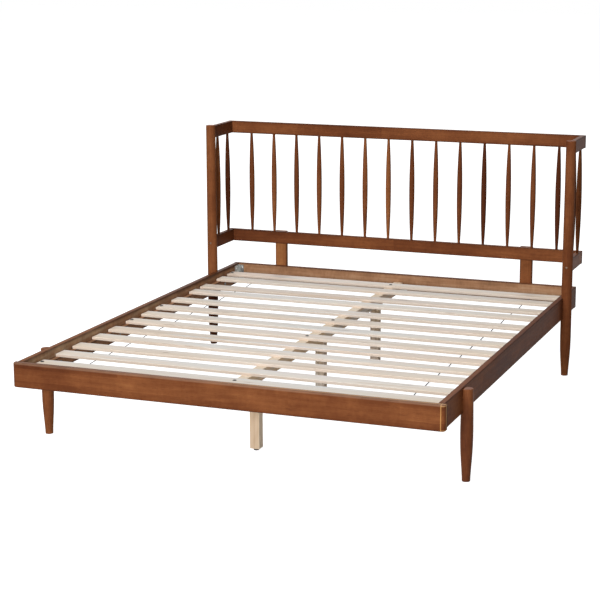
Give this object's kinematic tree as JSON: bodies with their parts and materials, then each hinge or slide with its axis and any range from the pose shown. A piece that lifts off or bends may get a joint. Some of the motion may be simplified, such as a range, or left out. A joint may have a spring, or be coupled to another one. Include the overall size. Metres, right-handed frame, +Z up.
{
  "type": "platform bed",
  "caption": "Stained wood platform bed with round tapered legs, a spindle headboard that wraps round to the rear posts, pale slats and a centre beam on levelling feet.",
  "frame": {"origin": "on the floor under the centre of the bed's bounding box", "axes": "+Y along the bed to the headboard, +X to the right as seen from the foot end, +Z up"},
  "size_m": [1.724, 2.09, 1.028],
  "materials": {
    "stained_wood": "satin lacquer",
    "stained_spindle": "satin lacquer",
    "raw_slat_wood": "bare planed wood",
    "raw_beam_wood": "bare planed wood",
    "zinc_steel": "zinc plated",
    "dark_steel": "blackened",
    "black_plastic": "matt",
    "woven_tape": "woven"
  },
  "bodies": {
    "frame": {"beam_hangers": "zinc_steel", "centre_beam": "raw_beam_wood", "corner_brackets": "zinc_steel", "foot_rail": "stained_wood", "frame_bolts": "dark_steel", "front_centre_leg": "raw_beam_wood", "glide_inserts": "zinc_steel", "head_rail": "stained_wood", "headboard_lower_rail": "stained_wood", "headboard_top_rail": "stained_wood", "left_front_leg": "stained_wood", "left_headboard_strut": "stained_wood", "left_ledger": "stained_wood", "left_rear_post": "stained_wood", "left_side_rail": "stained_wood", "left_wing_lower_rail": "stained_wood", "left_wing_spindles": "stained_spindle", "left_wing_top_rail": "stained_wood", "middle_centre_leg": "raw_beam_wood", "rear_centre_leg": "raw_beam_wood", "right_front_leg": "stained_wood", "right_headboard_strut": "stained_wood", "right_ledger": "stained_wood", "right_rear_post": "stained_wood", "right_side_rail": "stained_wood", "right_wing_lower_rail": "stained_wood", "right_wing_spindles": "stained_spindle", "right_wing_top_rail": "stained_wood", "slat_01": "raw_slat_wood", "slat_02": "raw_slat_wood", "slat_03": "raw_slat_wood", "slat_04": "raw_slat_wood", "slat_05": "raw_slat_wood", "slat_06": "raw_slat_wood", "slat_07": "raw_slat_wood", "slat_08": "raw_slat_wood", "slat_09": "raw_slat_wood", "slat_10": "raw_slat_wood", "slat_11": "raw_slat_wood", "slat_12": "raw_slat_wood", "slat_13": "raw_slat_wood", "slat_tapes": "woven_tape", "spindle_01": "stained_spindle", "spindle_02": "stained_spindle", "spindle_03": "stained_spindle", "spindle_04": "stained_spindle", "spindle_05": "stained_spindle", "spindle_06": "stained_spindle", "spindle_07": "stained_spindle", "spindle_08": "stained_spindle", "spindle_09": "stained_spindle", "spindle_10": "stained_spindle", "spindle_11": "stained_spindle", "spindle_12": "stained_spindle", "spindle_13": "stained_spindle", "spindle_14": "stained_spindle", "wood_screws": "dark_steel"},
    "front_foot": {"front_glide": "black_plastic"},
    "middle_foot": {"middle_glide": "black_plastic"},
    "rear_foot": {"rear_glide": "black_plastic"}
  },
  "joints": [
    {"name": "front_foot_screw", "type": "slide", "parent": "frame", "child": "front_foot", "axis": [0, 0, -1], "range_m": [0, 0.012]},
    {"name": "middle_foot_screw", "type": "slide", "parent": "frame", "child": "middle_foot", "axis": [0, 0, -1], "range_m": [0, 0.012]},
    {"name": "rear_foot_screw", "type": "slide", "parent": "frame", "child": "rear_foot", "axis": [0, 0, -1], "range_m": [0, 0.012]}
  ]
}
